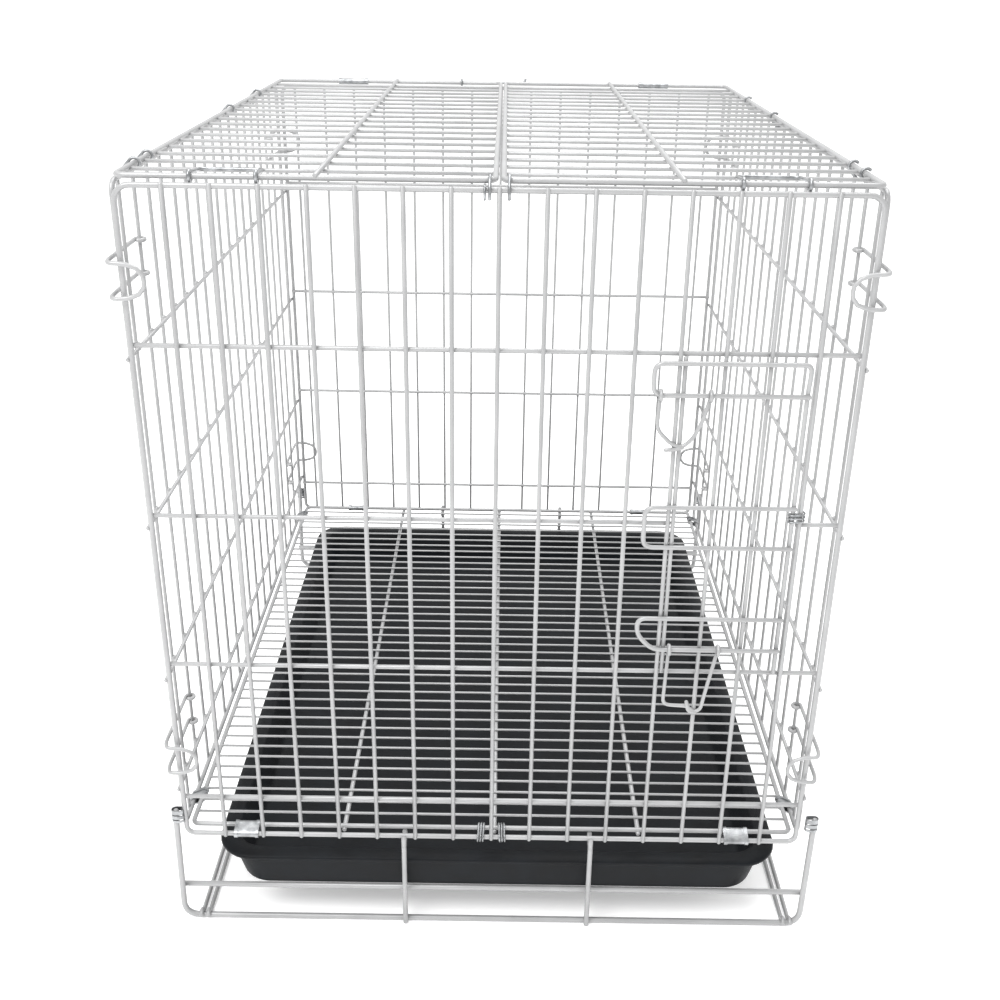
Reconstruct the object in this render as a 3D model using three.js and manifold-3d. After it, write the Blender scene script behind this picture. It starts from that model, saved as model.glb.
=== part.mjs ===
// Foldable wire dog crate on low wire feet, with a front door, a two-leaf roof and a floor tray.
// Millimetres, +Z up, -Y is the front. The origin is on the ground, under the middle of the crate.
import * as THREE from "three";
import { mergeVertices } from "three/addons/utils/BufferGeometryUtils.js";
import Module from "manifold-3d";

const wasm = await Module();
wasm.setup();

// Overall size, between wire centre lines
const DEPTH = 770;              // front panel to back panel
const PANEL_HALF_WIDTH = 299;   // half the width of the front and back panels
const SIDE_X = 306;             // plane of the side panels
const WALL_HEIGHT = 630;        // bottom wire to top wire of every wall
const FLOOR_Z = 106.5;            // bottom wires above the ground

// Wires
const FRAME_RADIUS = 2.5;       // edge wires
const END_RADIUS = 2.4;         // edge wires that the others are welded to
const MESH_SIZE = 2.8;          // thin grid wires, square here
const LAYER_GAP = 0.2;          // each grid layer's distance from the panel's middle plane
const ROD_SIDES = 8;
const CLEARANCE = 0.35;         // running gap between a wire and what turns on it

// Hinge line of a wall: the floor's edge wire, inside and above the wall's own bottom wire
const HINGE_IN = 9;
const HINGE_UP = 4;

// Walls
const COLUMN_PITCH = 37.5;      // front panel's upright wires
const BACK_PITCH = 40;
const SIDE_FIRST = 38;          // first side wire behind the front panel
const SIDE_PITCH = 42;
const SIDE_COUNT = 17;
const SIDE_EDGE = 15;           // side panel's own edge wires, behind the front and back panels
const LOW_RAIL = 43.4;
const FRONT_RAILS = [194.4, 346, 500.2];
const SIDE_RAILS = [51, 177, 334, 488];

// Door, in the right half of the front panel
const DOOR_LEFT = 150;
const DOOR_RIGHT = 264.5;       // panel wire that the door turns on
const DOOR_COLUMNS = [154.5, 187.5, 225, 257.5];
const DOOR_BOTTOM = 200;
const DOOR_TOP = 495;
const HAIRPINS = [[493.7, 466], [364, 325.5], [254, 221.5]];
const HAIRPIN_RADIUS = 2;
const HAIRPIN_LEFT = 129;
const HAIRPIN_V = -5.4;
const DOOR_CLIP = [349, 361];

// Roof
const ROOF_Z = 636.5;
const ROOF_EDGE_X = 300;
const ROOF_MIDDLE_X = 3.2;
const ROOF_BAR_X = 143;
const ROOF_END = 5;             // roof's front and back wires, inside the panels' planes
const ROOF_CELLS = { left: 19, right: 20 };
const ROOF_RING_Y = [-323, -284, 52, 210];

// Floor and feet
const FLOOR_CELLS = 41;
const FLOOR_BAR_X = 146;
const FOOT_RADIUS = 3;
const FOOT_X = 314;
const GROUND_WIRE_Z = FOOT_RADIUS * Math.cos(Math.PI / 6) - FLOOR_Z; // its flat underside is at 0
const FOOT_V = -1.5;            // foot frame's plane, in front of the front panel's plane
const FOOT_TOP = 27;
const FOOT_CORNER = 16;
const TRAY_WIRE_V = 4;
const TRAY_WIRE_Z = -68;
const SHORT_LEG_X = [-86, 98];
const SHORT_LEG_V = -6.5;
const RAIL_X = [293, 301];

// Tray
const TRAY_HALF_WIDTH = 284;
const TRAY_X = 6;               // middle of the tray, which slides sideways
const TRAY_FRONT = 2.2;         // rim's edge behind the panels' planes
const TRAY_RIM_Z = -31;
const TRAY_BOTTOM_Z = -64.6;
const TRAY_WALL = 2.6;

const FRONT = -1;
const BACK = 1;
const LEFT = -1;
const RIGHT = 1;
const SIDE_NAMES = { [LEFT]: "left", [RIGHT]: "right" };
const END_NAMES = { [FRONT]: "front", [BACK]: "back" };

const coated = new THREE.MeshStandardMaterial({ color: 0xd9d9d6, roughness: 0.4, metalness: 0.1 });
const zinc = new THREE.MeshStandardMaterial({ color: 0xb4b7ba, roughness: 0.35, metalness: 0.85 });
const plastic = new THREE.MeshStandardMaterial({ color: 0x2c3034, roughness: 0.55, metalness: 0 });

// ---- points and solids -------------------------------------------------------------------

// A point by its end of the crate: v is the distance inwards from that end panel's plane.
function at(end, x, v, z) {
  return new THREE.Vector3(x, end * (DEPTH / 2 - v), z);
}

function toSolid(geometry) {
  const bare = geometry.clone();
  bare.deleteAttribute("normal");
  bare.deleteAttribute("uv");
  const merged = mergeVertices(bare, 1e-4);
  return new wasm.Manifold(new wasm.Mesh({
    numProp: 3,
    vertProperties: new Float32Array(merged.attributes.position.array),
    triVerts: new Uint32Array(merged.index.array),
  }));
}

function toGeometry(solid) {
  const mesh = solid.getMesh();
  const geometry = new THREE.BufferGeometry();
  geometry.setAttribute("position", new THREE.BufferAttribute(mesh.vertProperties, 3));
  geometry.setIndex(new THREE.BufferAttribute(mesh.triVerts, 1));
  geometry.computeVertexNormals();
  return geometry;
}

function join(geometries) {
  let whole = toSolid(geometries[0]);
  for (const geometry of geometries.slice(1)) {
    whole = whole.add(toSolid(geometry));
  }
  return toGeometry(whole);
}

// A square bar or block between two opposite corners.
function block(a, b) {
  const size = new THREE.Vector3().subVectors(b, a);
  const geometry = new THREE.BoxGeometry(Math.abs(size.x), Math.abs(size.y), Math.abs(size.z));
  const middle = new THREE.Vector3().addVectors(a, b).multiplyScalar(0.5);
  return geometry.translate(middle.x, middle.y, middle.z);
}

// A straight round rod between two points.
function rod(a, b, radius) {
  const along = new THREE.Vector3().subVectors(b, a);
  const geometry = new THREE.CylinderGeometry(radius, radius, along.length(), ROD_SIDES);
  geometry.rotateY(Math.PI / ROD_SIDES);
  const up = new THREE.Vector3(0, 1, 0);
  geometry.applyQuaternion(new THREE.Quaternion().setFromUnitVectors(up, along.normalize()));
  const middle = new THREE.Vector3().addVectors(a, b).multiplyScalar(0.5);
  return geometry.translate(middle.x, middle.y, middle.z);
}

// A path that turns only at its own points, for wire bent to a few angles.
class WirePath extends THREE.Curve {
  constructor(points) {
    super();
    this.points = points;
  }

  getPoint(t, target = new THREE.Vector3()) {
    const last = this.points.length - 1;
    const index = Math.min(Math.floor(t * last), last - 1);
    return target.lerpVectors(this.points[index], this.points[index + 1], t * last - index);
  }

  getTangentAt(t, target = new THREE.Vector3()) {
    const last = this.points.length - 1;
    const index = Math.round(t * last);
    const here = this.points[index];
    target.set(0, 0, 0);
    if (index > 0) {
      target.add(new THREE.Vector3().subVectors(here, this.points[index - 1]).normalize());
    }
    if (index < last) {
      target.add(new THREE.Vector3().subVectors(this.points[index + 1], here).normalize());
    }
    return target.normalize();
  }

  getSpacedPoints() {
    return this.points;
  }
}

function bentWire(points, radius, sides = 6) {
  const section = arc(0, 0, radius, 0, 360 * (1 - 1 / sides), sides - 1);
  return new THREE.ExtrudeGeometry(new THREE.Shape(section), {
    steps: points.length - 1,
    extrudePath: new WirePath(points),
  });
}

// Points on a circle, angles in degrees, both ends included.
function arc(x, y, radius, from, to, steps) {
  const points = [];
  for (let step = 0; step <= steps; step += 1) {
    const angle = THREE.MathUtils.degToRad(from + (to - from) * step / steps);
    points.push(new THREE.Vector2(x + radius * Math.cos(angle), y + radius * Math.sin(angle)));
  }
  return points;
}

// The outline round two wires of one radius, as a loop that starts beside the first wire.
function capsule(a, b, radius, steps) {
  const angle = THREE.MathUtils.radToDeg(Math.atan2(b.y - a.y, b.x - a.x));
  return [
    ...arc(b.x, b.y, radius, angle - 90, angle + 90, steps),
    ...arc(a.x, a.y, radius, angle + 90, angle + 270, steps),
  ];
}

// A rolled sheet clip with a hole for each of two parallel wires, drawn in the plane across them.
function rolledClip(a, b, length) {
  const hole = FRAME_RADIUS + CLEARANCE + 0.25;
  const shape = new THREE.Shape(capsule(a, b, hole + 1.5, 6));
  for (const centre of [a, b]) {
    shape.holes.push(new THREE.Path(arc(centre.x, centre.y, hole, 330, 0, 11)));
  }
  return new THREE.ExtrudeGeometry(shape, { depth: length, bevelEnabled: false });
}

// Turns a drawing in the plane (y, z) with its depth along x.
function alongX(geometry, x) {
  const turn = new THREE.Matrix4().set(0, 0, 1, x, 1, 0, 0, 0, 0, 1, 0, 0, 0, 0, 0, 1);
  return geometry.applyMatrix4(turn);
}

// Turns a drawing in the plane (z, x) with its depth along y.
function alongY(geometry, y) {
  const turn = new THREE.Matrix4().set(0, 1, 0, 0, 0, 0, 1, y, 1, 0, 0, 0, 0, 0, 0, 1);
  return geometry.applyMatrix4(turn);
}

const crate = new THREE.Group();
crate.position.z = FLOOR_Z;

function addPart(name, geometry, material) {
  const mesh = new THREE.Mesh(geometry, material);
  mesh.name = name;
  crate.add(mesh);
}

// ---- walls -------------------------------------------------------------------------------

// Helpers for one wall: place(u, v, w) has u along the wall, v up, w inwards from its plane.
function wallTools(place) {
  const half = MESH_SIZE / 2;
  return {
    frame: (u0, v0, u1, v1) => rod(place(u0, v0, 0), place(u1, v1, 0), FRAME_RADIUS),
    post: (u, v0, v1) => rod(place(u, v0, 0), place(u, v1, 0), END_RADIUS),
    upright: (u, v0, v1) => block(place(u - half, v0, -LAYER_GAP - MESH_SIZE),
      place(u + half, v1, -LAYER_GAP)),
    rail: (v, u0, u1) => block(place(u0, v - half, LAYER_GAP),
      place(u1, v + half, LAYER_GAP + MESH_SIZE)),
    weldedRail: (v, u0, u1) => block(place(u0, v - half, -1),
      place(u1, v + half, LAYER_GAP + MESH_SIZE)),
  };
}

function wallFrame(wall, u0, u1) {
  return [
    wall.frame(u0, 0, u1, 0),
    wall.frame(u0, WALL_HEIGHT, u1, WALL_HEIGHT),
    wall.post(u0, -FRAME_RADIUS, WALL_HEIGHT + FRAME_RADIUS),
    wall.post(u1, -FRAME_RADIUS, WALL_HEIGHT + FRAME_RADIUS),
  ];
}

function frontPanel() {
  const wall = wallTools((u, v, w) => at(FRONT, u, w, v));
  const [sill, middle, head] = FRONT_RAILS;
  const edge = PANEL_HALF_WIDTH;
  const pieces = wallFrame(wall, -edge, edge);
  pieces.push(wall.frame(-edge, LOW_RAIL, edge, LOW_RAIL));
  for (let column = -7; column <= 7; column += 1) {
    const isHinge = column === 7;
    const u = isHinge ? DOOR_RIGHT : column * COLUMN_PITCH;
    if (column === 5 || column === 6) {
      pieces.push(wall.upright(u, 0, sill));
      pieces.push(wall.upright(u, head, WALL_HEIGHT));
    } else {
      pieces.push(wall.upright(u, 0, WALL_HEIGHT));
    }
  }
  pieces.push(wall.weldedRail(sill, -edge, edge));
  pieces.push(wall.weldedRail(head, -edge, edge));
  pieces.push(wall.rail(middle, -edge, DOOR_LEFT + MESH_SIZE / 2));
  pieces.push(wall.rail(middle, DOOR_RIGHT - MESH_SIZE / 2, edge));
  return join(pieces);
}

function backPanel() {
  const wall = wallTools((u, v, w) => at(BACK, u, w, v));
  const edge = PANEL_HALF_WIDTH;
  const pieces = wallFrame(wall, -edge, edge);
  for (let column = -7; column <= 7; column += 1) {
    pieces.push(wall.upright(column * BACK_PITCH, 0, WALL_HEIGHT));
  }
  for (const height of FRONT_RAILS) {
    pieces.push(wall.rail(height, -edge, edge));
  }
  return join(pieces);
}

function sidePanel(side) {
  const wall = wallTools((u, v, w) => new THREE.Vector3(side * (SIDE_X - w), u - DEPTH / 2, v));
  const pieces = wallFrame(wall, SIDE_EDGE, DEPTH - SIDE_EDGE);
  for (let column = 0; column < SIDE_COUNT; column += 1) {
    pieces.push(wall.upright(SIDE_FIRST + column * SIDE_PITCH, 0, WALL_HEIGHT));
  }
  for (const height of SIDE_RAILS) {
    pieces.push(wall.rail(height, 0, DEPTH));
  }
  return join(pieces);
}

function roofLeaf(side) {
  const cells = ROOF_CELLS[SIDE_NAMES[side]];
  const y0 = ROOF_END - DEPTH / 2;
  const half = MESH_SIZE / 2;
  const point = (x, y, z) => new THREE.Vector3(side * x, y, ROOF_Z + z);
  const over = FRAME_RADIUS;
  const pieces = [
    rod(point(ROOF_EDGE_X, y0 - over, 0), point(ROOF_EDGE_X, -y0 + over, 0), END_RADIUS),
    rod(point(ROOF_MIDDLE_X, y0 - over, 0), point(ROOF_MIDDLE_X, -y0 + over, 0), END_RADIUS),
    rod(point(ROOF_MIDDLE_X, y0, 0), point(ROOF_EDGE_X, y0, 0), FRAME_RADIUS),
    rod(point(ROOF_MIDDLE_X, -y0, 0), point(ROOF_EDGE_X, -y0, 0), FRAME_RADIUS),
    block(point(ROOF_BAR_X - 1.9, y0, 0.3), point(ROOF_BAR_X + 1.9, -y0, 4.1)),
  ];
  for (let cell = 1; cell < cells; cell += 1) {
    const y = y0 - cell * 2 * y0 / cells;
    pieces.push(block(point(ROOF_MIDDLE_X, y - half, -0.1 - MESH_SIZE),
      point(ROOF_EDGE_X, y + half, -0.1)));
  }
  return join(pieces);
}

function floorGrid() {
  const x = SIDE_X - HINGE_IN;
  const y = DEPTH / 2 - HINGE_IN;
  const half = MESH_SIZE / 2;
  const z = HINGE_UP;
  const point = (px, py, pz) => new THREE.Vector3(px, py, pz);
  const pieces = [
    rod(point(-x, -y, z), point(x, -y, z), FRAME_RADIUS),
    rod(point(-x, y, z), point(x, y, z), FRAME_RADIUS),
    rod(point(-x, -y - 2.5, z), point(-x, y + 2.5, z), END_RADIUS),
    rod(point(x, -y - 2.5, z), point(x, y + 2.5, z), END_RADIUS),
  ];
  for (const barX of [-FLOOR_BAR_X, 4, FLOOR_BAR_X]) {
    pieces.push(block(point(barX - 1.7, -y, z - 4), point(barX + 1.7, y, z - 0.9)));
  }
  for (let cell = 1; cell < FLOOR_CELLS; cell += 1) {
    const wireY = -y + cell * 2 * y / FLOOR_CELLS;
    pieces.push(block(point(-x, wireY - half, z - 0.6), point(x, wireY + half, z + MESH_SIZE - 0.6)));
  }
  return join(pieces);
}

// ---- hinges and rings --------------------------------------------------------------------

// Rolled clip that joins a front or back panel's bottom wire to the floor's edge wire.
function endHingeClip(end, x, length) {
  const wall = new THREE.Vector2(end * DEPTH / 2, 0);
  const floor = new THREE.Vector2(end * (DEPTH / 2 - HINGE_IN), HINGE_UP);
  return alongX(rolledClip(wall, floor, length), x - length / 2);
}

function sideHingeClip(side, y, length) {
  const wall = new THREE.Vector2(0, side * SIDE_X);
  const floor = new THREE.Vector2(HINGE_UP, side * (SIDE_X - HINGE_IN));
  return alongY(rolledClip(wall, floor, length), y - length / 2);
}

// Rolled clip on a roof leaf's back wire.
function roofClip(x, length) {
  const wire = new THREE.Vector2(DEPTH / 2 - ROOF_END, ROOF_Z);
  const hole = FRAME_RADIUS + CLEARANCE + 0.25;
  const shape = new THREE.Shape(arc(wire.x, wire.y, hole + 1.1, 0, 345, 23));
  shape.holes.push(new THREE.Path(arc(wire.x, wire.y, hole, 330, 0, 11)));
  return alongX(new THREE.ExtrudeGeometry(shape, { depth: length, bevelEnabled: false }), x - length / 2);
}

// Open ring bent round two parallel wires; place puts its plane's coordinates into space.
function hogRing(a, b, radius, place) {
  const loop = capsule(a, b, FRAME_RADIUS + CLEARANCE + radius + 0.2, 4);
  return bentWire(loop.map(place), radius, 5);
}

function frontHingeRing(x) {
  const wall = new THREE.Vector2(-DEPTH / 2, 0);
  const floor = new THREE.Vector2(-DEPTH / 2 + HINGE_IN, HINGE_UP);
  return hogRing(wall, floor, 1.2, (p) => new THREE.Vector3(x, p.x, p.y));
}

function roofRing(side, y) {
  const wall = new THREE.Vector2(side * SIDE_X, WALL_HEIGHT);
  const roof = new THREE.Vector2(side * ROOF_EDGE_X, ROOF_Z);
  return hogRing(wall, roof, 1.2, (p) => new THREE.Vector3(p.x, y, p.y));
}

// Open ring on a roof leaf's front wire that drops in front of the front panel's top wire.
function roofCatch(x) {
  const path = [
    ...arc(ROOF_END, ROOF_Z, 4.2, -50, 150, 5),
    new THREE.Vector2(-4.6, 633),
    new THREE.Vector2(-5, 626),
    new THREE.Vector2(-4.6, 623.5),
  ];
  return bentWire(path.map((p) => new THREE.Vector3(x, p.x - DEPTH / 2, p.y)), 1.2, 5);
}

function tagRing(x) {
  const loop = arc(0, 628.2, 5.6, 100, 425, 10);
  return bentWire(loop.map((p) => new THREE.Vector3(x, p.x - DEPTH / 2, p.y)), 0.9, 5);
}

// ---- hooks and latches -------------------------------------------------------------------

// Wire hook on a side panel's second upright: two eyes, two arms outside the side panel, and a
// D-shaped grip that closes in front of the end panel's edge wire.
function cornerHook(side, end, top) {
  const pivotX = SIDE_X + LAYER_GAP + MESH_SIZE / 2;
  const pivotV = SIDE_FIRST + SIDE_PITCH;
  const reach = 4;
  const bottom = top - 29;
  const gripV = -6.4;
  const half = [
    ...arc(pivotX, pivotV, reach, 285, 0, 6).map((p) => [p.x, p.y, 0]),
    [pivotX + reach, 1, 0],
    [pivotX + reach - 1.5, -4, 0],
    [pivotX - 1, gripV, 0],
    [291, gripV, 1],
    [284, gripV, 6],
  ];
  const points = [];
  for (const [x, v, drop] of half) {
    points.push(at(end, side * x, v, top - drop));
  }
  points.push(at(end, side * 281.5, gripV, (top + bottom) / 2));
  for (const [x, v, drop] of half.slice().reverse()) {
    points.push(at(end, side * x, v, bottom + drop));
  }
  return bentWire(points, 1.6, 5);
}

// Wire bail: two eyes on one wire along x and a bent bar between them, in the plane of the bail.
// place(x, r, q) has r from the wire's axis towards the bar and q across the bail.
function bail(eyeRadius, bar, radius, place) {
  const first = bar[0];
  const last = bar[bar.length - 1];
  const eye = (x) => arc(0, 0, eyeRadius, 35, 325, 7).map((p) => place(x, p.x, p.y));
  const points = [
    ...eye(first[0]).reverse(),
    place(first[0], eyeRadius + 2.2, 0),
    ...bar.slice(1, -1).map(([x, r]) => place(x, r, 0)),
    place(last[0], eyeRadius + 2.2, 0),
    ...eye(last[0]),
  ];
  return bentWire(points, radius, 5);
}

function roofHook(side) {
  const inner = 189;
  const outer = 241;
  const bar = [[inner, 0], [inner, 28], [inner + 6, 33], [outer - 6, 33], [outer, 28], [outer, 0]];
  return bail(4.3, bar, 1.1, (x, r, q) => at(FRONT, side * x, ROOF_END + r, ROOF_Z + q));
}

function doorLatch(axisZ, bar) {
  return bail(3.8, bar, 1.2, (x, r, q) => at(FRONT, x, HAIRPIN_V + q, axisZ - r));
}

// Wire latch that turns on the left leaf's back wire and lies behind the right leaf's.
function roofLatch() {
  const eye = arc(0, 0, 4.3, 280, 0, 6).map((p) => at(BACK, -56, ROOF_END - p.x, ROOF_Z + p.y));
  const arm = [
    at(BACK, -50, ROOF_END - 5.6, ROOF_Z + 0.4),
    at(BACK, 24, ROOF_END - 5.6, ROOF_Z + 0.4),
    at(BACK, 29, ROOF_END - 7, ROOF_Z + 2),
    at(BACK, 30, ROOF_END - 9, ROOF_Z + 5),
  ];
  return bentWire([...eye, ...arm], 1.1, 5);
}

// ---- door --------------------------------------------------------------------------------

function hairpin([high, low]) {
  const right = DOOR_COLUMNS[3];
  const turn = 6;
  const path = [
    [right, high], [HAIRPIN_LEFT + turn, high], [HAIRPIN_LEFT + 1.5, high - 1.5],
    [HAIRPIN_LEFT, high - turn], [HAIRPIN_LEFT, low + turn], [HAIRPIN_LEFT + 1.5, low + 1.5],
    [HAIRPIN_LEFT + turn, low], [right, low],
  ];
  return bentWire(path.map(([x, z]) => at(FRONT, x, HAIRPIN_V, z)), HAIRPIN_RADIUS);
}

function door() {
  const half = MESH_SIZE / 2;
  const pieces = DOOR_COLUMNS.map((x) => block(
    at(FRONT, x - half, -4.2, DOOR_BOTTOM), at(FRONT, x + half, -0.4, DOOR_TOP)));
  pieces.push(...HAIRPINS.map(hairpin));
  return join(pieces);
}

function doorClip() {
  const [low, high] = DOOR_CLIP;
  const pin = new THREE.Vector2(DOOR_RIGHT, -DEPTH / 2 - 1.6);
  const edge = new THREE.Vector2(DOOR_COLUMNS[3], -DEPTH / 2 - 2.3);
  const shape = new THREE.Shape(capsule(pin, edge, 4.1, 5));
  shape.holes.push(new THREE.Path(capsule(pin, edge, 3, 5).reverse()));
  const geometry = new THREE.ExtrudeGeometry(shape, { depth: high - low, bevelEnabled: false });
  return geometry.translate(0, 0, low);
}

// ---- feet --------------------------------------------------------------------------------

// Front or back foot frame: a U of wire with a cross wire for the tray and two short legs.
function footFrame(end) {
  const place = (x, z) => at(end, x, FOOT_V, z);
  const corner = arc(FOOT_X - FOOT_CORNER, GROUND_WIRE_Z + FOOT_CORNER, FOOT_CORNER, 0, -90, 3);
  const right = corner.map((p) => place(p.x, p.y));
  const left = corner.slice().reverse().map((p) => place(-p.x, p.y));
  const path = [place(FOOT_X, FOOT_TOP), ...right, ...left, place(-FOOT_X, FOOT_TOP)];
  const pieces = [
    bentWire(path, FOOT_RADIUS),
    rod(at(end, -FOOT_X, TRAY_WIRE_V, TRAY_WIRE_Z), at(end, FOOT_X, TRAY_WIRE_V, TRAY_WIRE_Z),
      FOOT_RADIUS),
  ];
  for (const x of SHORT_LEG_X) {
    const corners = (dx, v0, v1, z0, z1) => block(at(end, x - dx, v0, z0), at(end, x + dx, v1, z1));
    pieces.push(corners(2.5, SHORT_LEG_V - 2.5, SHORT_LEG_V + 2.5, GROUND_WIRE_Z - 1, 2.5));
    pieces.push(corners(2, SHORT_LEG_V, HINGE_IN + 2, -9, -4.5));
    pieces.push(corners(2, HINGE_IN - 2, HINGE_IN + 2, -6, HINGE_UP - FRAME_RADIUS - 0.4));
    pieces.push(corners(2, SHORT_LEG_V, TRAY_WIRE_V, TRAY_WIRE_Z - 1.5, TRAY_WIRE_Z + 1.5));
    pieces.push(corners(2, SHORT_LEG_V, FOOT_V, GROUND_WIRE_Z - 1, GROUND_WIRE_Z + 1.5));
  }
  return join(pieces);
}

// Long narrow loop of wire on the ground that ties the two foot frames together.
function footRail(side) {
  const end = DEPTH / 2 - FOOT_V - FOOT_RADIUS - 4;
  const [inner, outer] = RAIL_X;
  const point = (x, y) => new THREE.Vector3(side * x, y, GROUND_WIRE_Z);
  return join([
    rod(point(inner, -end), point(inner, end), 2.5),
    rod(point(outer, -end), point(outer, end), 2.5),
    rod(point(inner - 2, -end), point(outer + 2, -end), 2.5),
    rod(point(inner - 2, end), point(outer + 2, end), 2.5),
  ]);
}

// Sheet clip round the top of a foot frame's upright, with a tab beside the crate's corner.
function footClip(side, end) {
  const y = end * (DEPTH / 2 - FOOT_V);
  const leg = new THREE.Vector2(side * FOOT_X, y);
  const tab = new THREE.Vector2(side * (SIDE_X + 1.5), y);
  const hole = FOOT_RADIUS + CLEARANCE + 0.15;
  const shape = new THREE.Shape(capsule(leg, tab, hole + 0.9, 5));
  shape.holes.push(new THREE.Path(arc(leg.x, leg.y, hole, 330, 0, 11)));
  const geometry = new THREE.ExtrudeGeometry(shape, { depth: 14, bevelEnabled: false });
  return geometry.translate(0, 0, FOOT_TOP - 10);
}

// ---- tray --------------------------------------------------------------------------------

function roundedOutline(halfX, halfY, radius) {
  const x = halfX - radius;
  const y = halfY - radius;
  return [
    ...arc(x, y, radius, 0, 90, 6),
    ...arc(-x, y, radius, 90, 180, 6),
    ...arc(-x, -y, radius, 180, 270, 6),
    ...arc(x, -y, radius, 270, 360, 6),
  ];
}

// Solid between two outlines with the same number of points, the first one below.
function loft(low, lowZ, high, highZ) {
  const count = low.length;
  const positions = [];
  for (const p of low) positions.push(p.x, p.y, lowZ);
  for (const p of high) positions.push(p.x, p.y, highZ);
  positions.push(0, 0, lowZ, 0, 0, highZ);
  const index = [];
  for (let i = 0; i < count; i += 1) {
    const next = (i + 1) % count;
    index.push(i, next, count + next, i, count + next, count + i);
    index.push(next, i, 2 * count, count + i, count + next, 2 * count + 1);
  }
  const geometry = new THREE.BufferGeometry();
  geometry.setAttribute("position", new THREE.Float32BufferAttribute(positions, 3));
  geometry.setIndex(index);
  return geometry;
}

// Shallow tray: sloping side walls, steep end walls and a flat rim all round.
function tray() {
  const halfY = DEPTH / 2 - TRAY_FRONT;
  const rim = roundedOutline(TRAY_HALF_WIDTH, halfY, 38);
  const rimHole = roundedOutline(TRAY_HALF_WIDTH - 17, halfY - 17, 30);
  const bodyTop = roundedOutline(TRAY_HALF_WIDTH - 12, halfY - 1, 34);
  const bodyLow = roundedOutline(TRAY_HALF_WIDTH - 26, halfY - 2.2, 28);
  const hollowLow = roundedOutline(TRAY_HALF_WIDTH - 30, halfY - 19, 26);
  const floorZ = TRAY_BOTTOM_Z + TRAY_WALL;
  const outside = toSolid(loft(bodyLow, TRAY_BOTTOM_Z, bodyTop, TRAY_RIM_Z - 1));
  const plate = toSolid(loft(rim, TRAY_RIM_Z - TRAY_WALL, rim, TRAY_RIM_Z));
  const hollow = toSolid(loft(hollowLow, floorZ, rimHole, TRAY_RIM_Z + 1));
  return toGeometry(outside.add(plate).subtract(hollow)).translate(TRAY_X, 0, 0);
}

// ---- the whole crate ---------------------------------------------------------------------

addPart("floor_grid", floorGrid(), coated);
for (const end of [FRONT, BACK]) {
  addPart(`${END_NAMES[end]}_foot_frame`, footFrame(end), coated);
  for (const side of [LEFT, RIGHT]) {
    addPart(`foot_clip_${END_NAMES[end]}_${SIDE_NAMES[side]}`, footClip(side, end), zinc);
  }
}
for (const side of [LEFT, RIGHT]) {
  addPart(`foot_rail_${SIDE_NAMES[side]}`, footRail(side), coated);
}
addPart("tray", tray(), plastic);

addPart("front_panel", frontPanel(), coated);
addPart("back_panel", backPanel(), coated);
for (const side of [LEFT, RIGHT]) {
  const name = SIDE_NAMES[side];
  addPart(`front_hinge_clip_${name}`, endHingeClip(FRONT, side * 242, 24), zinc);
  addPart(`back_hinge_clip_${name}`, endHingeClip(BACK, side * 220, 24), zinc);
  addPart(`roof_clip_${name}`, roofClip(side * 202, 39), zinc);
  addPart(`front_hinge_ring_${name}`, frontHingeRing(side * 9), zinc);
  addPart(`side_panel_${name}`, sidePanel(side), coated);
  addPart(`side_hinge_clip_${name}_front`, sideHingeClip(side, -330.5, 13), zinc);
  addPart(`side_hinge_clip_${name}_back`, sideHingeClip(side, 348.5, 13), zinc);
  addPart(`roof_${name}`, roofLeaf(side), coated);
  for (const [index, y] of ROOF_RING_Y.entries()) {
    addPart(`roof_ring_${name}_${index + 1}`, roofRing(side, y), zinc);
  }
  addPart(`roof_catch_${name}`, roofCatch(side * 7.6), zinc);
  addPart(`roof_hook_${name}`, roofHook(side), zinc);
}
addPart("tag_ring", tagRing(-11.5), zinc);
addPart("roof_latch", roofLatch(), zinc);

addPart("door", door(), coated);
addPart("door_hinge_clip", doorClip(), zinc);
const upperBar = [[140, 0], [138, 31], [148, 44], [156, 47], [165, 39], [172, 22], [177, 0]];
const lowerBar = [[159.5, 0], [158, 59], [182, 60], [187, 67], [193, 64], [197, 39], [204, 0]];
addPart("door_latch_upper", doorLatch(HAIRPINS[0][1], upperBar), zinc);
addPart("door_latch_lower", doorLatch(HAIRPINS[2][1], lowerBar), zinc);

for (const end of [FRONT, BACK]) {
  for (const side of [LEFT, RIGHT]) {
    const name = `corner_hook_${END_NAMES[end]}_${SIDE_NAMES[side]}`;
    addPart(`${name}_upper`, cornerHook(side, end, 570), zinc);
    addPart(`${name}_lower`, cornerHook(side, end, 106), zinc);
  }
}

export default crate;
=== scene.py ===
"""Foldable wire dog crate: round wire panels, clips, hooks and a moulded tray around the CAD frame.

Lengths below are in millimetres. A place is (x, v, z): v is the distance inwards from the plane
of the front or back panel, and z is the height above the bottom wires of the walls.
"""

import math

import bpy
from mathutils import Matrix, Vector


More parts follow.
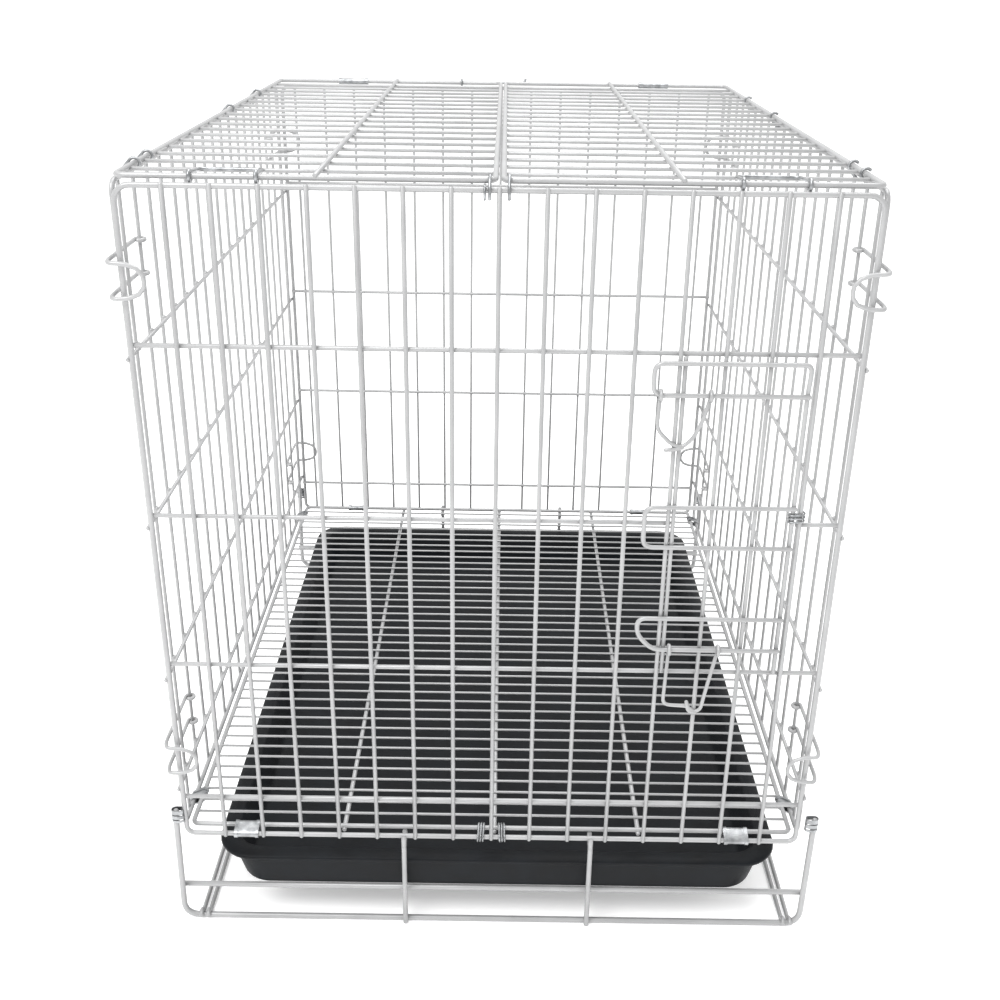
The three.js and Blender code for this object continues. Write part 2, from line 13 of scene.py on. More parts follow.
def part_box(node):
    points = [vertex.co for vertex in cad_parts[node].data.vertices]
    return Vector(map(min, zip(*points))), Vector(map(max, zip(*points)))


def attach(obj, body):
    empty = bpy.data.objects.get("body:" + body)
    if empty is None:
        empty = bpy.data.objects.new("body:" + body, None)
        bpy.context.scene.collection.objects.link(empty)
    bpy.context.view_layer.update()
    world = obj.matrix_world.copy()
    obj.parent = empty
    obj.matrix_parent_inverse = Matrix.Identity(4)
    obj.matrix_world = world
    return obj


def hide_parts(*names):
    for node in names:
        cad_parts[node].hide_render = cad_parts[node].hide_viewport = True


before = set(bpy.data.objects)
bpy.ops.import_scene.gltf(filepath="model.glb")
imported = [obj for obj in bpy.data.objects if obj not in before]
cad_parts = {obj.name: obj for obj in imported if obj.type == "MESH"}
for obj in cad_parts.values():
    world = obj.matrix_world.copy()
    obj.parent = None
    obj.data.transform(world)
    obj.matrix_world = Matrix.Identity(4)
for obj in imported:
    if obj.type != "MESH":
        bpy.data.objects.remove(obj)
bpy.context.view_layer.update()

MM = 0.001
SIDES = {"left": -1, "right": 1}
ENDS = {"front": -1, "back": 1}

# Places read from the frame
front_low, front_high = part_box("front_panel")
HALF_DEPTH = -(front_low[1] + front_high[1]) / 2 / MM
DEPTH = 2 * HALF_DEPTH
WALL_R = 2.5
FLOOR_Z = front_low[2] / MM + WALL_R
WALL_TOP = front_high[2] / MM - FLOOR_Z - WALL_R

# Wires
THICK = 2.4          # edge wires
MEDIUM = 2.0         # front panel, door and rails
SLIM = 1.65          # uprights of the back and side panels
THIN = 1.75          # roof cross wires
FINE = 1.35          # floor cross wires
LAP = 3.6            # centre distance of two crossed, welded wires
END_TAPER = 0.45     # length of a wire's softened end, in radii
END_SHARE = 0.62     # radius at the tip of that end
RING_SIDES = 10

# Walls
HALF_WIDTH = 300.5
SIDE_X = 306
RAILS = (194.4, 346.0, 500.2)
LOW_RAIL = 43.4
FRONT_PITCH = 37.5
BACK_PITCH = 40.2
SIDE_RAILS = (52, 177, 334, 488)
SIDE_FIRST = 38
SIDE_PITCH = 42
SIDE_COUNT = 17
SIDE_EDGE = 15
HOOK_EYE = 4.1       # radius of a corner hook's eye, to the middle of its wire
HINGE_IN = 9
HINGE_UP = 4

# Door
DOOR_LEFT = 150
DOOR_PIN = 264.5
DOOR_COLUMNS = (154.5, 187.5, 225, 257.5)
DOOR_BOTTOM = 196
DOOR_TOP = 498
HAIRPINS = ((493.7, 466), (364, 325.5), (254, 221.5))
HAIRPIN_LEFT = 129
HAIRPIN_V = -5.4

# Roof
ROOF_Z = 636.5
ROOF_EDGE = 300
ROOF_MIDDLE = 3.2
ROOF_BAR = 143
ROOF_END = 5
ROOF_BEND = 8
ROOF_CELLS = {"left": 19, "right": 20}
ROOF_RING_Y = (-323, -284, 52, 210)

# Floor and feet
FLOOR_CELLS = 41
FLOOR_BARS = (-146, 3, 146)
FOOT_R = 3.0
FOOT_LEFT = -312
FOOT_RIGHT = 315.5
FOOT_V = -1.5
FOOT_TOP = 27
FOOT_CORNER = 17
GROUND_Z = FOOT_R - FLOOR_Z
TRAY_WIRE_V = 4
TRAY_WIRE_Z = -68
SHORT_LEGS = (-86, 98)
SHORT_LEG_V = -6.5
RAIL_X = {"left": (-287.5, -294.5), "right": (299, 306)}


# ---- geometry helpers --------------------------------------------------------------------

def at(end, x, v, z):
    """The point (x, v, z) at one end of the crate, in metres in the frame."""
    return Vector((x, ENDS[end] * (HALF_DEPTH - v), z + FLOOR_Z)) * MM


def place(x, y, z):
    """The point x, y from the middle of the crate and z above the bottom wires, in metres."""
    return Vector((x, y, z + FLOOR_Z)) * MM


def arc(cx, cy, radius, start, stop, steps):
    """Points on a circle, angles in degrees, both ends included."""
    angles = [math.radians(start + (stop - start) * k / steps) for k in range(steps + 1)]
    return [(cx + radius * math.cos(a), cy + radius * math.sin(a)) for a in angles]


def capsule(a, b, radius, steps):
    """The outline round two points, starting beside the first."""
    angle = math.degrees(math.atan2(b[1] - a[1], b[0] - a[0]))
    return (arc(b[0], b[1], radius, angle - 90, angle + 90, steps)
            + arc(a[0], a[1], radius, angle + 90, angle + 270, steps))


def rounded(points, bend, steps=5):
    """The polyline with each inner corner turned into a bend of about this radius, in mm."""
    out = [points[0]]
    for before, here, after in zip(points, points[1:], points[2:]):
        into = before - here
        away = after - here
        reach = min(bend * MM, into.length / 2.05, away.length / 2.05)
        start = here + into.normalized() * reach
        stop = here + away.normalized() * reach
        for k in range(steps + 1):
            t = k / steps
            out.append(start.lerp(here, t).lerp(here.lerp(stop, t), t))
    out.append(points[-1])
    return out


class Piece:
    """Vertices and faces of one visible piece, gathered before it becomes a mesh."""

    def __init__(self):
        self.vertices = []
        self.faces = []

    def tube(self, points, radius, closed=False, sides=RING_SIDES):
        """A round wire along the points, with softly rounded ends; radius in mm."""
        count = len(points)
        radius *= MM
        rings = []
        normal = None
        for index, point in enumerate(points):
            if closed:
                ahead = points[(index + 1) % count]
                behind = points[index - 1]
            else:
                ahead = points[min(index + 1, count - 1)]
                behind = points[max(index - 1, 0)]
            tangent = (ahead - behind).normalized()
            if normal is None:
                normal = tangent.orthogonal().normalized()
            normal = (normal - tangent * normal.dot(tangent)).normalized()
            rings.append((point, tangent, normal, radius))
        if not closed:
            first, last = rings[0], rings[-1]
            nose = radius * END_TAPER
            tip = radius * END_SHARE
            rings.insert(0, (first[0] - first[1] * nose, first[1], first[2], tip))
            rings.append((last[0] + last[1] * nose, last[1], last[2], tip))
        base = len(self.vertices)
        for point, tangent, across, size in rings:
            up = tangent.cross(across)
            for k in range(sides):
                angle = 2 * math.pi * k / sides
                outward = across * math.cos(angle) + up * math.sin(angle)
                self.vertices.append(point + outward * size)
        loops = len(rings)
        for ring in range(loops if closed else loops - 1):
            a = base + ring * sides
            b = base + (ring + 1) % loops * sides
            for k in range(sides):
                n = (k + 1) % sides
                self.faces.append((a + k, a + n, b + n, b + k))
        if not closed:
            self.faces.append(tuple(base + k for k in reversed(range(sides))))
            last = base + (loops - 1) * sides
            self.faces.append(tuple(last + k for k in range(sides)))

    def wire(self, a, b, radius):
        """A straight wire."""
        self.tube([a, b], radius)

    def weld(self, point, direction, radius):
        """A small squashed bead where two wires are spot welded."""
        along = direction.normalized() * radius * MM
        self.tube([point - along * 0.9, point - along * 0.35, point + along * 0.35,
                   point + along * 0.9], radius * 0.85, sides=8)

    def band(self, inner, outer, place_at, low, high):
        """A closed sheet band between two outlines, from low to high along its length."""
        base = len(self.vertices)
        count = len(inner)
        for along in (low, high):
            for outline in (inner, outer):
                self.vertices.extend(place_at(p, along) for p in outline)
        for k in range(count):
            n = (k + 1) % count
            in0, out0, in1, out1 = (base + count * ring for ring in range(4))
            self.faces.append((out0 + k, out0 + n, out1 + n, out1 + k))
            self.faces.append((in0 + n, in0 + k, in1 + k, in1 + n))
            self.faces.append((in0 + k, in0 + n, out0 + n, out0 + k))
            self.faces.append((in1 + n, in1 + k, out1 + k, out1 + n))

    def make(self, name, body, material, *nodes, crease=math.radians(50)):
        """Turns the piece into an object that rides on a body and stands for CAD nodes."""
        mesh = bpy.data.meshes.new(name)
        mesh.from_pydata([tuple(v) for v in self.vertices], [], self.faces)
        mesh.update()
        mesh.materials.append(material)
        mesh.polygons.foreach_set("use_smooth", [True] * len(mesh.polygons))
        mesh.set_sharp_from_angle(angle=crease)
        made = bpy.data.objects.new(name, mesh)
        bpy.context.scene.collection.objects.link(made)
        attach(made, body)
        if nodes:
            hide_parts(*nodes)
        return made


# ---- materials ---------------------------------------------------------------------------


def make_material(name, dark, light, metallic, roughness, grain_scale, bump, bump_scale):
    """A procedural finish: soft colour and gloss variation and a fine surface grain."""
    material = bpy.data.materials.new(name)
    material.use_nodes = True
    nodes = material.node_tree.nodes
    links = material.node_tree.links
    shader = nodes["Principled BSDF"]
    shader.inputs["Metallic"].default_value = metallic
    coordinates = nodes.new("ShaderNodeTexCoord")
    cloud = nodes.new("ShaderNodeTexNoise")
    cloud.inputs["Scale"].default_value = grain_scale
    cloud.inputs["Detail"].default_value = 6
    links.new(coordinates.outputs["Object"], cloud.inputs["Vector"])
    ramp = nodes.new("ShaderNodeValToRGB")
    ramp.color_ramp.elements[0].position = 0.32
    ramp.color_ramp.elements[0].color = (*dark, 1)
    ramp.color_ramp.elements[1].position = 0.68
    ramp.color_ramp.elements[1].color = (*light, 1)
    links.new(cloud.outputs["Fac"], ramp.inputs["Fac"])
    links.new(ramp.outputs["Color"], shader.inputs["Base Color"])
    gloss = nodes.new("ShaderNodeMapRange")
    gloss.inputs["To Min"].default_value = roughness - 0.07
    gloss.inputs["To Max"].default_value = roughness + 0.09
    links.new(cloud.outputs["Fac"], gloss.inputs["Value"])
    links.new(gloss.outputs["Result"], shader.inputs["Roughness"])
    fine = nodes.new("ShaderNodeTexNoise")
    fine.inputs["Scale"].default_value = bump_scale
    fine.inputs["Detail"].default_value = 4
    links.new(coordinates.outputs["Object"], fine.inputs["Vector"])
    relief = nodes.new("ShaderNodeBump")
    relief.inputs["Strength"].default_value = bump
    relief.inputs["Distance"].default_value = 0.0004
    links.new(fine.outputs["Fac"], relief.inputs["Height"])
    links.new(relief.outputs["Normal"], shader.inputs["Normal"])
    return material


COATING = make_material("coated_wire", (0.33, 0.332, 0.335), (0.385, 0.387, 0.39),
                        metallic=0.2, roughness=0.33, grain_scale=25, bump=0.2, bump_scale=900)
ZINC = make_material("plated_steel", (0.20, 0.205, 0.21), (0.42, 0.43, 0.44),
                     metallic=0.85, roughness=0.30, grain_scale=140, bump=0.3, bump_scale=1500)
TRAY = make_material("moulded_black", (0.0015, 0.002, 0.003), (0.004, 0.0055, 0.0075),
                     metallic=0.0, roughness=0.42, grain_scale=35, bump=0.5, bump_scale=1800)
TRAY.node_tree.nodes["Principled BSDF"].inputs["Specular IOR Level"].default_value = 0.17


# ---- walls -------------------------------------------------------------------------------

def frame_loop(spot, u0, u1, top_bend, low_bend):
    """The closed edge wire of a wall; spot(u, z, w) gives a point."""
    loop = []
    for cu, cz, bend, start in ((u1, WALL_TOP, top_bend, 0), (u0, WALL_TOP, top_bend, 90),
                                (u0, 0, low_bend, 180), (u1, 0, low_bend, 270)):
        u = cu - bend if cu == u1 else cu + bend
        z = cz - bend if cz else cz + bend
        loop.extend(spot(a, b, 0) for a, b in arc(u, z, bend, start, start + 90, 5))
    return loop


def front_panel():
    piece = Piece()
    spot = lambda u, z, w: at("front", u, w, z)
    piece.tube(frame_loop(spot, -HALF_WIDTH, HALF_WIDTH, 13, 8), THICK, closed=True)
    low, middle, high = RAILS
    reach = HALF_WIDTH + 1.5
    back = LAP / 2
    for z in (LOW_RAIL, low, high):
        piece.wire(spot(-reach, z, back), spot(reach, z, back), MEDIUM + 0.15)
    piece.wire(spot(-reach, middle, back), spot(DOOR_LEFT + 2, middle, back), MEDIUM + 0.15)
    piece.wire(spot(DOOR_PIN - 2, middle, back), spot(reach, middle, back), MEDIUM + 0.15)
    for column in range(-7, 8):
        u = DOOR_PIN if column == 7 else column * FRONT_PITCH
        spans = [(-1.5, WALL_TOP + 1.5)]
        if column in (5, 6):
            spans = [(-1.5, low + 1.5), (high - 1.5, WALL_TOP + 1.5)]
        for z0, z1 in spans:
            piece.wire(spot(u, z0, -back), spot(u, z1, -back), MEDIUM)
    piece.make("front_panel_wires", "front_panel", COATING, "front_panel")


def back_panel():
    piece = Piece()
    spot = lambda u, z, w: at("back", u, w, z)
    piece.tube(frame_loop(spot, -HALF_WIDTH, HALF_WIDTH, 13, 8), THICK, closed=True)
    reach = HALF_WIDTH + 1.5
    for z in (LOW_RAIL, *RAILS):
        piece.wire(spot(-reach, z, LAP / 2), spot(reach, z, LAP / 2), MEDIUM)
    for column in range(-7, 8):
        u = column * BACK_PITCH - 2
        piece.wire(spot(u, -1.5, -LAP / 2), spot(u, WALL_TOP + 1.5, -LAP / 2), SLIM)
    piece.make("back_panel_wires", "back_panel", COATING, "back_panel")


def side_panel(side):
    piece = Piece()
    sign = SIDES[side]
    spot = lambda u, z, w: place(sign * (SIDE_X - w), u - HALF_DEPTH, z)
    piece.tube(frame_loop(spot, SIDE_EDGE, DEPTH - SIDE_EDGE, 10, 8), THICK, closed=True)
    for z in SIDE_RAILS:
        piece.wire(spot(-0.5, z, LAP / 2), spot(DEPTH + 0.5, z, LAP / 2), MEDIUM - 0.1)
    for column in range(SIDE_COUNT):
        u = SIDE_FIRST + column * SIDE_PITCH
        piece.wire(spot(u, -1.5, -LAP / 2), spot(u, WALL_TOP + 1.5, -LAP / 2), SLIM)
        for z in SIDE_RAILS:
            piece.weld(spot(u, z, 0), Vector((0, 0, 1)), 2.7)
    piece.make(f"side_panel_{side}_wires", f"side_panel_{side}", COATING, f"side_panel_{side}")


def roof_leaf(side):
    piece = Piece()
    sign = SIDES[side]
    y0 = ROOF_END - HALF_DEPTH
    loop = []
    for cx, cy, start in ((ROOF_EDGE, -y0, 0), (ROOF_MIDDLE, -y0, 90), (ROOF_MIDDLE, y0, 180),
                          (ROOF_EDGE, y0, 270)):
        x = cx - ROOF_BEND if cx == ROOF_EDGE else cx + ROOF_BEND
        y = cy - ROOF_BEND if cy > 0 else cy + ROOF_BEND
        bend = arc(x, y, ROOF_BEND, start, start + 90, 4)
        loop.extend(place(sign * a, b, ROOF_Z) for a, b in bend)
    piece.tube(loop, THICK, closed=True)
    bar_z = ROOF_Z + 2.1
    piece.wire(place(sign * ROOF_BAR, y0 - 1.5, bar_z), place(sign * ROOF_BAR, 1.5 - y0, bar_z),
               MEDIUM + 0.25)
    cells = ROOF_CELLS[side]
    for cell in range(1, cells):
        y = y0 - cell * 2 * y0 / cells
        piece.wire(place(sign * (ROOF_MIDDLE - 1.8), y, ROOF_Z - 1.6),
                   place(sign * (ROOF_EDGE + 1.5), y, ROOF_Z - 1.6), THIN)
    piece.make(f"roof_{side}_wires", f"roof_{side}", COATING, f"roof_{side}")


def floor_grid():
    piece = Piece()
    x = SIDE_X - HINGE_IN
    y = HALF_DEPTH - HINGE_IN
    corners = []
    for cx, cy, start in ((x, y, 0), (-x, y, 90), (-x, -y, 180), (x, -y, 270)):
        corners.extend(place(a, b, HINGE_UP)
                       for a, b in arc(math.copysign(x - 6, cx), math.copysign(y - 6, cy), 6,
                                       start, start + 90, 4))
    piece.tube(corners, THICK - 0.1, closed=True)
    for bar in FLOOR_BARS:
        piece.wire(place(bar, -y - 3, HINGE_UP - 2.6), place(bar, y + 3, HINGE_UP - 2.6), THICK - 0.1)
    for cell in range(1, FLOOR_CELLS):
        wire_y = -y + cell * 2 * y / FLOOR_CELLS
        piece.wire(place(-x - 1, wire_y, HINGE_UP + 0.9), place(x + 1, wire_y, HINGE_UP + 0.9), FINE)
    piece.make("floor_grid_wires", "base", COATING, "floor_grid")


# ---- feet --------------------------------------------------------------------------------

def foot_frame(end):
    piece = Piece()
    left, right = FOOT_LEFT, FOOT_RIGHT
    u_shape = [at(end, left + 3, FOOT_V, FOOT_TOP + 1), at(end, left + 2, FOOT_V, 10),
               at(end, left, FOOT_V, GROUND_Z), at(end, right, FOOT_V, GROUND_Z),
               at(end, right + 1, FOOT_V, 10), at(end, right + 1.5, FOOT_V, FOOT_TOP + 1)]
    path = [u_shape[0]] + rounded(u_shape[1:-1], FOOT_CORNER, 8) + [u_shape[-1]]
    piece.tube(path, FOOT_R)
    piece.wire(at(end, left - 2, TRAY_WIRE_V, TRAY_WIRE_Z), at(end, right + 2, TRAY_WIRE_V, TRAY_WIRE_Z),
               FOOT_R - 0.2)
    for x in SHORT_LEGS:
        leg = [at(end, x, HINGE_IN, HINGE_UP - 5), at(end, x, HINGE_IN, -7),
               at(end, x, SHORT_LEG_V, -6), at(end, x, SHORT_LEG_V, GROUND_Z - 1.6)]
        piece.tube(rounded(leg, 5), 2.5)
        piece.wire(at(end, x, SHORT_LEG_V, -8), at(end, x, SHORT_LEG_V, 2), 2.5)
    piece.make(f"{end}_foot_frame_wires", "base", COATING, f"{end}_foot_frame")


def foot_rail(side):
    """A long loop of wire on the ground whose ends curl over the foot frames' ground wires."""
    piece = Piece()
    curl = FOOT_R + 2.3
    for x in RAIL_X[side]:
        path = []
        for end, step in (("front", 1), ("back", -1)):
            hook = [at(end, x, FOOT_V - a, GROUND_Z + b) for a, b in arc(0, 0, curl, 30, 180, 6)]
            path.extend(hook[::step])
        piece.tube(path, 2.2)
    piece.make(f"foot_rail_{side}_wires", "base", COATING, f"foot_rail_{side}")


def foot_clip(side, end):
    piece = Piece()
    sign = SIDES[side]
    y = ENDS[end] * (HALF_DEPTH - FOOT_V)
    spot = lambda p, z: Vector((p[0], p[1], z + FLOOR_Z)) * MM
    leg = (FOOT_LEFT + 2.5 if sign < 0 else FOOT_RIGHT + 0.8, y)
    tab = (leg[0] - sign * 4.5, y)
    inner, outer = capsule(leg, tab, 3.3, 6), capsule(leg, tab, 4.2, 6)
    for low, high in ((-11, -8.5), (-7, -3), (-1.5, 3)):
        piece.band(inner, outer, spot, FOOT_TOP + low, FOOT_TOP + high)
    piece.make(f"foot_clip_{end}_{side}_sheet", "base", ZINC, f"foot_clip_{end}_{side}")


# ---- clips, rings and hooks --------------------------------------------------------------

def rolled_clip(name, body, a, b, spot, low, high, node):
    """A sheet clip rolled round two parallel wires, with a waist between them."""
    piece = Piece()
    piece.band(capsule(a, b, 3.0, 8), capsule(a, b, 3.6, 8), spot, low + 3, high - 3)
    for start, stop in ((low, low + 3.5), (high - 3.5, high)):
        piece.band(capsule(a, b, 2.9, 8), capsule(a, b, 4.3, 8), spot, start, stop)
    piece.make(name, body, ZINC, node)


def hog_ring(name, body, points, radius, *nodes):
    piece = Piece()
    piece.tube(points, radius, sides=8)
    piece.make(name, body, ZINC, *nodes)


def end_hinges(end, x_clip, length):
    axis = ENDS[end]
    wall, floor = (axis * HALF_DEPTH, 0), (axis * (HALF_DEPTH - HINGE_IN), HINGE_UP)
    spot = lambda p, x: place(x, p[0], p[1])
    for side, sign in SIDES.items():
        name = f"{end}_hinge_clip_{side}"
        low = sign * x_clip - length / 2
        rolled_clip(f"{name}_sheet", f"{end}_panel", wall, floor, spot, low, low + length, name)


def side_hinges(side):
    sign = SIDES[side]
    wall, floor = (sign * SIDE_X, 0), (sign * (SIDE_X - HINGE_IN), HINGE_UP)
    spot = lambda p, y: place(p[0], y, p[1])
    for end, y in (("front", -330.5), ("back", 348.5)):
        name = f"side_hinge_clip_{side}_{end}"
        rolled_clip(f"{name}_sheet", f"side_panel_{side}", wall, floor, spot, y - 6.5, y + 6.5, name)


def roof_clip(side):
    """A sheet clip rolled round the leaf's back wire, with a turned bead at each end."""
    piece = Piece()
    wire = (HALF_DEPTH - ROOF_END, ROOF_Z)
    middle = SIDES[side] * 202
    spot = lambda p, x: place(x, p[0], p[1])
    piece.band(arc(*wire, 3.0, 0, 345, 23), arc(*wire, 3.7, 0, 345, 23), spot, middle - 17, middle + 17)
    for low in (middle - 19.5, middle + 16):
        piece.band(arc(*wire, 2.9, 0, 345, 23), arc(*wire, 4.3, 0, 345, 23), spot, low, low + 3.5)
    piece.make(f"roof_clip_{side}_sheet", f"roof_{side}", ZINC, f"roof_clip_{side}")


def hinge_rings():
    """Small coils of two turns round the panel's bottom wire and the floor's edge wire."""
    outline = capsule((-HALF_DEPTH, 0), (HINGE_IN - HALF_DEPTH, HINGE_UP), WALL_R + 1.6, 8)
    turns = outline * 3
    for side, sign in SIDES.items():
        step = 7.5 / len(turns)
        points = [place(sign * (6.6 + k * step), p[0], p[1]) for k, p in enumerate(turns)]
        hog_ring(f"front_hinge_ring_{side}_wire", "front_panel", points, 1.0, f"front_hinge_ring_{side}")


def roof_rings(side):
    sign = SIDES[side]
    wall, roof = (sign * SIDE_X, WALL_TOP), (sign * ROOF_EDGE, ROOF_Z)
    for index, y in enumerate(ROOF_RING_Y, 1):
        outline = capsule(wall, roof, WALL_R + 1.9, 8)
        points = [place(p[0], y, p[1]) for p in outline]
        name = f"roof_ring_{side}_{index}"
        hog_ring(f"{name}_wire", f"roof_{side}", points, 1.3, name)


def roof_catch(side):
    path = arc(ROOF_END, ROOF_Z, 4.2, -50, 150, 10) + [(-4.6, 633), (-5, 626), (-4.4, 623.5)]
    points = [at("front", SIDES[side] * 7.6, v, z) for v, z in path]
    hog_ring(f"roof_catch_{side}_wire", f"roof_{side}", points, 1.3, f"roof_catch_{side}")


def tag_ring():
    points = [at("front", -11.5, v, z) for v, z in arc(0, 628.2, 5.6, 100, 440, 24)]
    hog_ring("tag_ring_wire", "front_panel", points, 1.0, "tag_ring")


def corner_hook(side, end, level, top):
    """Two eyes as far in as the front's second upright, two arms and a grip before the corner."""
    sign = SIDES[side]
    pivot_x, pivot_v = SIDE_X + LAP / 2, SIDE_FIRST + SIDE_PITCH
    bottom = top - 29
    grip_v = -7
    arm_x = pivot_x + HOOK_EYE

    def half(z, drop):
        eye = [at(end, sign * a, b, z) for a, b in arc(pivot_x, pivot_v, HOOK_EYE, 285, 0, 14)]
        arm = [at(end, sign * arm_x, 6, z), at(end, sign * (arm_x - 0.5), 0, z),
               at(end, sign * (pivot_x + 1), grip_v, z)]
        grip = [at(end, sign * 296, grip_v, z - drop * 0.5), at(end, sign * 287, grip_v, z - drop * 4)]
        return eye + rounded([eye[-1]] + arm + grip, 4, 3)[1:]

    middle = (top + bottom) / 2
    upper = half(top, 1)
    lower = half(bottom, -1)
    tip = [at(end, sign * 282.5, grip_v, middle + 5), at(end, sign * 281.8, grip_v, middle),
           at(end, sign * 282.5, grip_v, middle - 5)]
    piece = Piece()
    piece.tube(upper + tip + lower[::-1], 1.9)
    name = f"corner_hook_{end}_{side}_{level}"
    piece.make(f"{name}_wire", name, COATING, name)


def bail(eye, bar, spot):
    """Points of a wire bail: an eye round a wire at each end of a bar; bar is [(x, r), ...]."""
    first, last = bar[0][0], bar[-1][0]
    ring = arc(0, 0, eye, 35, 330, 14)
    start = [spot(first, r, q) for r, q in reversed(ring)]
    stop = [spot(last, r, q) for r, q in ring]
    middle = [spot(x, r, 0) for x, r in bar[1:-1]]
    return start[:-1] + rounded([start[-1]] + middle + [stop[0]], 7, 5) + stop[1:]


def roof_hook(side):
    sign = SIDES[side]
    piece = Piece()
    bar = [(189, 0), (189, 34), (241, 34), (241, 0)]
    spot = lambda x, r, q: at("front", sign * x, ROOF_END + r, ROOF_Z + q)
    piece.tube(bail(4.3, bar, spot), 1.6, sides=8)
    name = f"roof_hook_{side}"
    piece.make(f"{name}_wire", name, ZINC, name)


def roof_latch():
    eye = [at("back", -56, ROOF_END - a, ROOF_Z + b) for a, b in arc(0, 0, 4.3, 280, 0, 12)]
    arm = [at("back", -50, ROOF_END - 5.6, ROOF_Z + 0.4), at("back", 24, ROOF_END - 5.6, ROOF_Z + 0.4),
           at("back", 29, ROOF_END - 7, ROOF_Z + 2), at("back", 30, ROOF_END - 9, ROOF_Z + 5)]
    piece = Piece()
    piece.tube(eye + rounded([eye[-1]] + arm, 4)[1:], 1.5, sides=8)
    piece.make("roof_latch_wire", "roof_latch", ZINC, "roof_latch")


# ---- door --------------------------------------------------------------------------------

def door():
    piece = Piece()
    for x in DOOR_COLUMNS[:-1]:
        piece.wire(at("front", x, -1.9, DOOR_BOTTOM), at("front", x, -1.9, DOOR_TOP), MEDIUM - 0.1)
    edge = DOOR_COLUMNS[-1]
    for high, low in HAIRPINS:
        path = [at("front", edge + 1.5, HAIRPIN_V, high), at("front", HAIRPIN_LEFT, HAIRPIN_V, high),
                at("front", HAIRPIN_LEFT, HAIRPIN_V, low), at("front", edge + 1.5, HAIRPIN_V, low)]
        if high == HAIRPINS[0][0]:
            path[0] = at("front", edge, HAIRPIN_V, high)
            path = [at("front", edge, -2.4, DOOR_BOTTOM), at("front", edge, -2.4, high - 22),
                    at("front", edge, HAIRPIN_V, high - 12)] + path
        if high == HAIRPINS[-1][0]:
            path[2:3] = [at("front", HAIRPIN_LEFT, HAIRPIN_V, low + 16),
                         at("front", HAIRPIN_LEFT + 15, HAIRPIN_V, low)]
        piece.tube(rounded(path, 9, 6), MEDIUM + 0.1)
    piece.make("door_wires", "door", COATING, "door")
    pin, edge = (DOOR_PIN, -HALF_DEPTH - 1.8), (DOOR_COLUMNS[3], -HALF_DEPTH - 2.1)
    turns = capsule(pin, edge, 3.4, 6) * 3
    coil = [place(p[0], p[1], 350 + 10 * k / len(turns)) for k, p in enumerate(turns)]
    hog_ring("door_hinge_clip_wire", "door", coil, 0.9, "door_hinge_clip")


def door_latch(level, axis_z, bar, tip):
    """A bent wire hung on a door wire by two eyes; tip is its free end, past the crossing."""
    piece = Piece()
    spot = lambda x, r, q: at("front", x, HAIRPIN_V + q, axis_z - r)
    piece.tube(bail(4.2, bar, spot), 1.7, sides=8)
    piece.tube(rounded([spot(x, r, -0.6) for x, r in tip], 5), 1.8, sides=8)
    name = f"door_latch_{level}"
    piece.make(f"{name}_wire", name, COATING, name)


# ---- tray --------------------------------------------------------------------------------

def tray():
    """Moulded tray: a folded rim, sloping sides and a slightly crowned floor."""
    half_y = HALF_DEPTH - 2.2
    low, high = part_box("tray")
    middle = (low[0] + high[0]) / 2 / MM
    half_x = (high[0] - low[0]) / 2 / MM
    levels = [
        (half_x - 27, half_y - 3.0, 27, -64.5), (half_x - 24.5, half_y - 1.8, 29, -63),
        (half_x - 23.5, half_y - 1.4, 29, -61), (half_x - 15, half_y - 1.0, 33, -38),
        (half_x - 13, half_y - 0.8, 34, -36), (half_x - 1.5, half_y - 0.3, 37, -35.2),
        (half_x, half_y, 38, -34), (half_x, half_y, 38, -32.4), (half_x - 1.2, half_y - 1.2, 37, -31),
        (half_x - 15.5, half_y - 15.5, 31, -31), (half_x - 17, half_y - 17, 30, -32),
        (half_x - 28.5, half_y - 18, 27, -58), (half_x - 31, half_y - 20.5, 25, -61),
        (half_x - 36, half_y - 25, 22, -61.9),
    ]
    piece = Piece()
    steps = 10
    count = 4 * (steps + 1)
    for hx, hy, radius, z in levels:
        x, y = hx - radius, hy - radius
        outline = (arc(x, y, radius, 0, 90, steps) + arc(-x, y, radius, 90, 180, steps)
                   + arc(-x, -y, radius, 180, 270, steps) + arc(x, -y, radius, 270, 360, steps))
        piece.vertices.extend(place(middle + a, b, z) for a, b in outline)
    for level in range(len(levels) - 1):
        for k in range(count):
            n = (k + 1) % count
            a, b = level * count, (level + 1) * count
            piece.faces.append((a + k, a + n, b + n, b + k))
    piece.faces.append(tuple(reversed(range(count))))
    last = (len(levels) - 1) * count
    piece.faces.append(tuple(last + k for k in range(count)))
    piece.make("tray_shell", "tray", TRAY, "tray", crease=math.radians(60))


# ---- assembly ----------------------------------------------------------------------------

front_panel()
back_panel()
floor_grid()
door()
door_latch("upper", HAIRPINS[0][1],
           [(135.5, 0), (134, 30), (147, 43), (156, 46.5), (165, 38), (172, 22), (177, 0)],
           [(157, 46), (150, 48), (142, 48.5)])
door_latch("lower", HAIRPINS[2][1],
           [(159.5, 0), (157.5, 59), (181, 60.5), (187, 67), (193, 64), (197, 39), (204, 0)],
           [(189, 67), (182, 66), (179.5, 55)])
tray()
hinge_rings()
tag_ring()
roof_latch()
end_hinges("front", 242, 24)
end_hinges("back", 220, 24)
for side in SIDES:
    side_panel(side)
    roof_leaf(side)
    foot_rail(side)
    side_hinges(side)
    roof_rings(side)
    roof_catch(side)
    roof_clip(side)
    roof_hook(side)
    for end in ENDS:
        foot_clip(side, end)
        corner_hook(side, end, "upper", 570)
        corner_hook(side, end, "lower", 106)
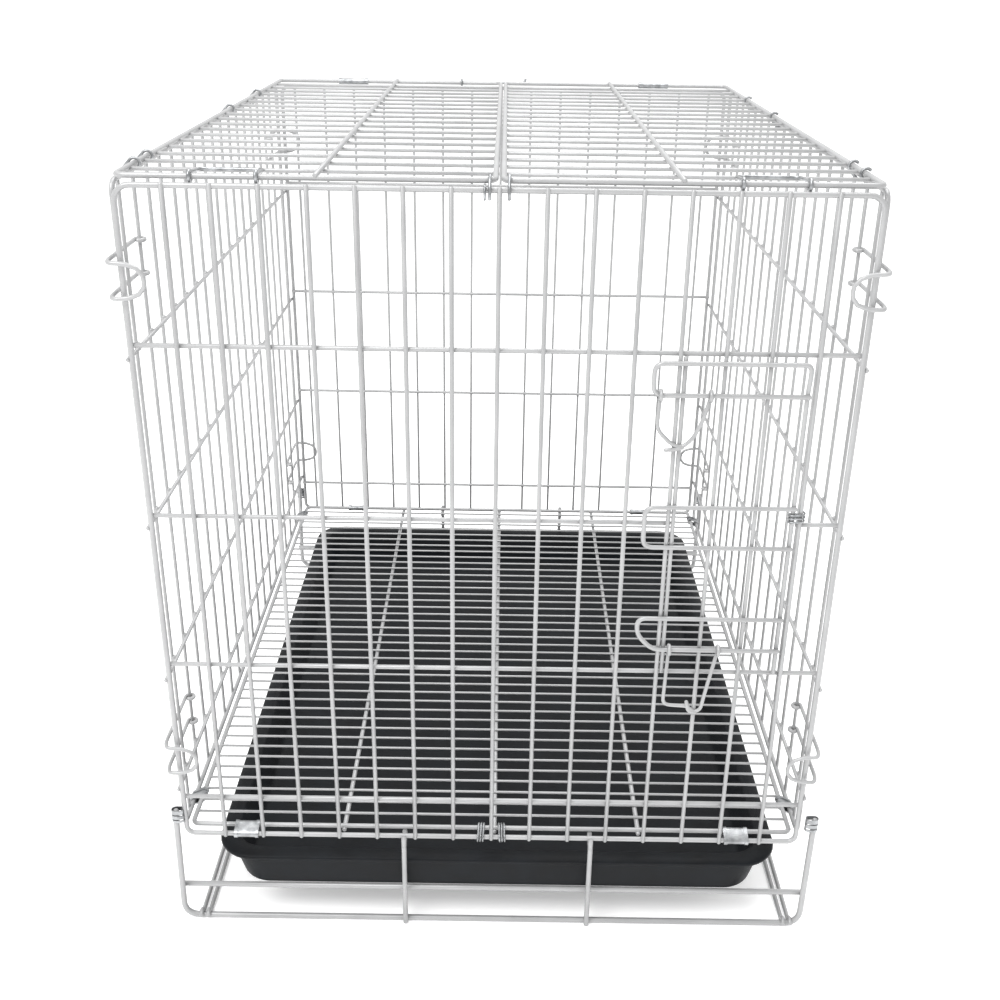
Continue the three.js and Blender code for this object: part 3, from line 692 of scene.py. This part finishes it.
for end in ENDS:
    foot_frame(end)


# ---- stage, lights and camera ------------------------------------------------------------

def stage():
    material = bpy.data.materials.new("studio_floor")
    material.use_nodes = True
    shader = material.node_tree.nodes["Principled BSDF"]
    shader.inputs["Base Color"].default_value = (0.97, 0.97, 0.97, 1)
    shader.inputs["Roughness"].default_value = 0.9
    # The floor glows faintly though it is no lamp: painted light that lightens the shadow the crate
    # casts on it.
    shader.inputs["Emission Color"].default_value = (1, 1, 1, 1)
    shader.inputs["Emission Strength"].default_value = 0.3
    mesh = bpy.data.meshes.new("studio_floor")
    size = 80
    mesh.from_pydata([(-size, -size, 0), (size, -size, 0), (size, size, 0), (-size, size, 0)], [],
                     [(0, 1, 2, 3)])
    mesh.materials.append(material)
    made = bpy.data.objects.new("studio_floor", mesh)
    bpy.context.scene.collection.objects.link(made)


def area_light(name, location, target, size, power):
    light = bpy.data.lights.new(name, "AREA")
    light.shape = "DISK"
    light.size = size
    light.energy = power
    made = bpy.data.objects.new(name, light)
    bpy.context.scene.collection.objects.link(made)
    aim = Vector(target) - Vector(location)
    made.matrix_world = Matrix.Translation(location) @ aim.to_track_quat("-Z", "Y").to_matrix().to_4x4()


def camera():
    """The camera stands in front of the crate and above it, and looks down on it a little."""
    data = bpy.data.cameras.new("camera")
    data.sensor_width = 36
    data.lens = 43.47
    made = bpy.data.objects.new("camera", data)
    bpy.context.scene.collection.objects.link(made)
    turn = Matrix.Rotation(math.radians(65.6), 4, "X") @ Matrix.Rotation(math.radians(0.85), 4, "Z")
    made.matrix_world = Matrix.Translation((0.0038, -1.336, 0.9043)) @ turn
    bpy.context.scene.camera = made


world = bpy.data.worlds.new("studio")
world.use_nodes = True
world.node_tree.nodes["Background"].inputs["Color"].default_value = (1, 1, 1, 1)
world.node_tree.nodes["Background"].inputs["Strength"].default_value = 1.03
bpy.context.scene.world = world
bpy.context.scene.view_settings.view_transform = "Standard"
stage()
area_light("key", (-1.2, -1.6, 2.6), (0, 0, 0.4), 1.6, 55)
area_light("top", (0.3, 0.4, 2.8), (0, 0, 0.3), 2.0, 45)
camera()
